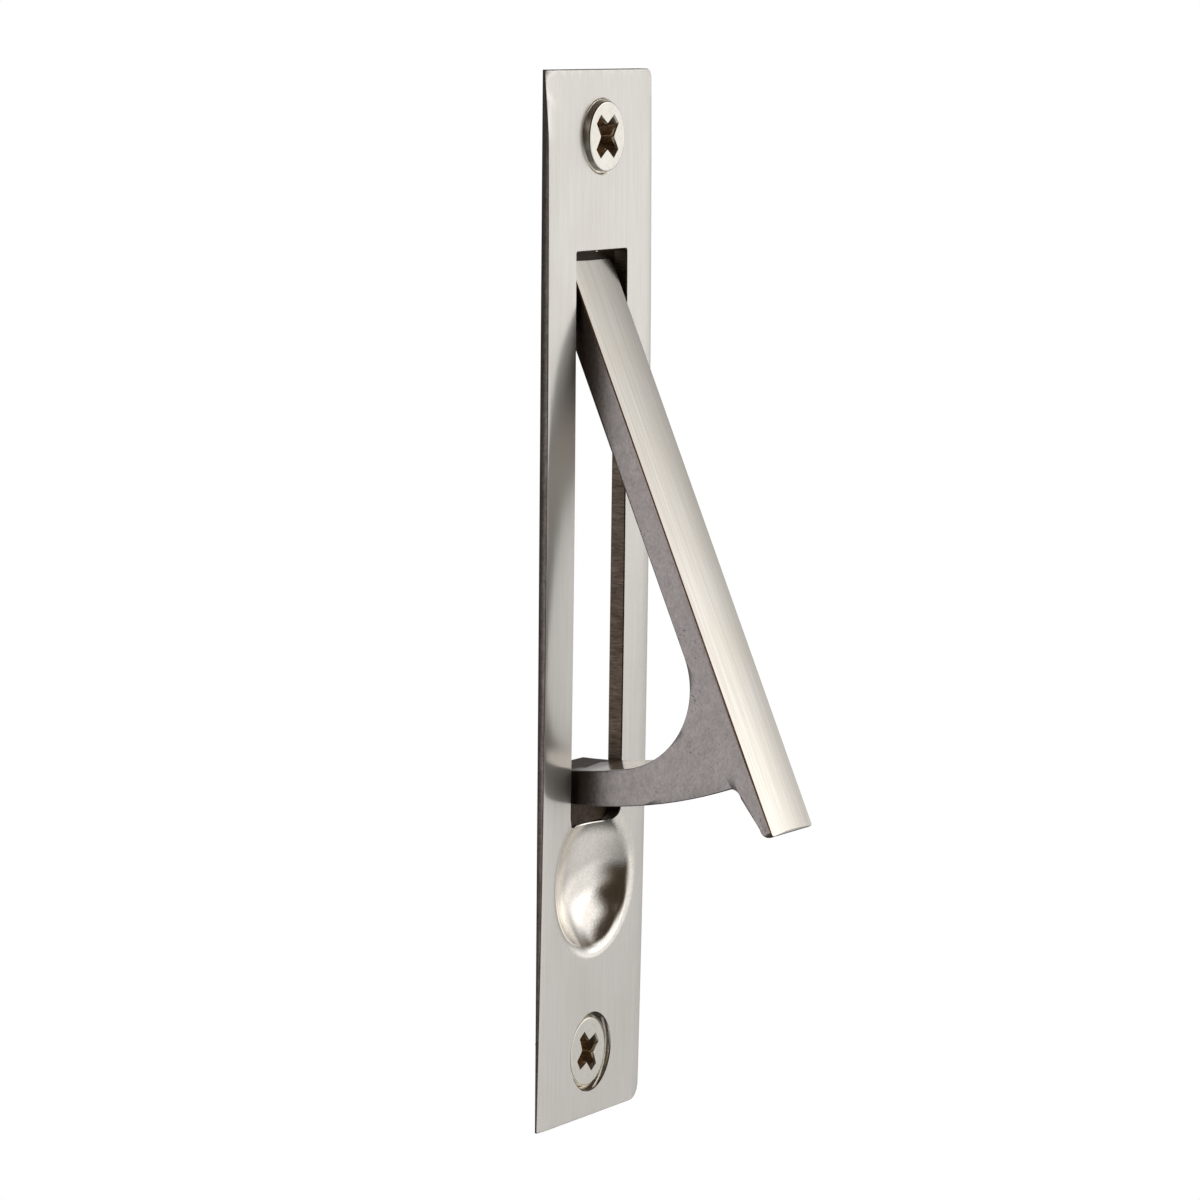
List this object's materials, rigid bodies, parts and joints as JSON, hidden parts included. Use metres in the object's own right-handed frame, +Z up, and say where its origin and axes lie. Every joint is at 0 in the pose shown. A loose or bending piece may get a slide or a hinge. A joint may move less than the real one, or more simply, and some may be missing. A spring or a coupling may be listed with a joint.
{
  "type": "pocket door pull",
  "caption": "Edge pull for a pocket door: a slotted face plate with a thumb dish and a pivoting pull lever that swings out of the slot.",
  "frame": {"origin": "centre of the face plate's flat back, the face that lies in the mortise in the door's edge", "axes": "+X right across the plate, +Y into the door, +Z up along the plate; the pull is swung right out"},
  "size_m": [0.019, 0.0272, 0.0984],
  "materials": {
    "satin_nickel_plate": "satin brushed nickel",
    "satin_nickel_lever": "satin brushed nickel",
    "bright_pin": "plain bright steel",
    "bright_nickel_screw": "bright nickel plating"
  },
  "bodies": {
    "plate": {"face_plate": "satin_nickel_plate", "pivot_pin": "bright_pin", "screw_top": "bright_nickel_screw", "screw_bottom": "bright_nickel_screw"},
    "lever": {"pull_lever": "satin_nickel_lever"}
  },
  "joints": [
    {"name": "pull_swing", "type": "hinge", "parent": "plate", "child": "lever", "pos_m": [0, 0.00083, 0.02783], "axis": [1, 0, 0], "range_deg": [0, 21.4]}
  ]
}
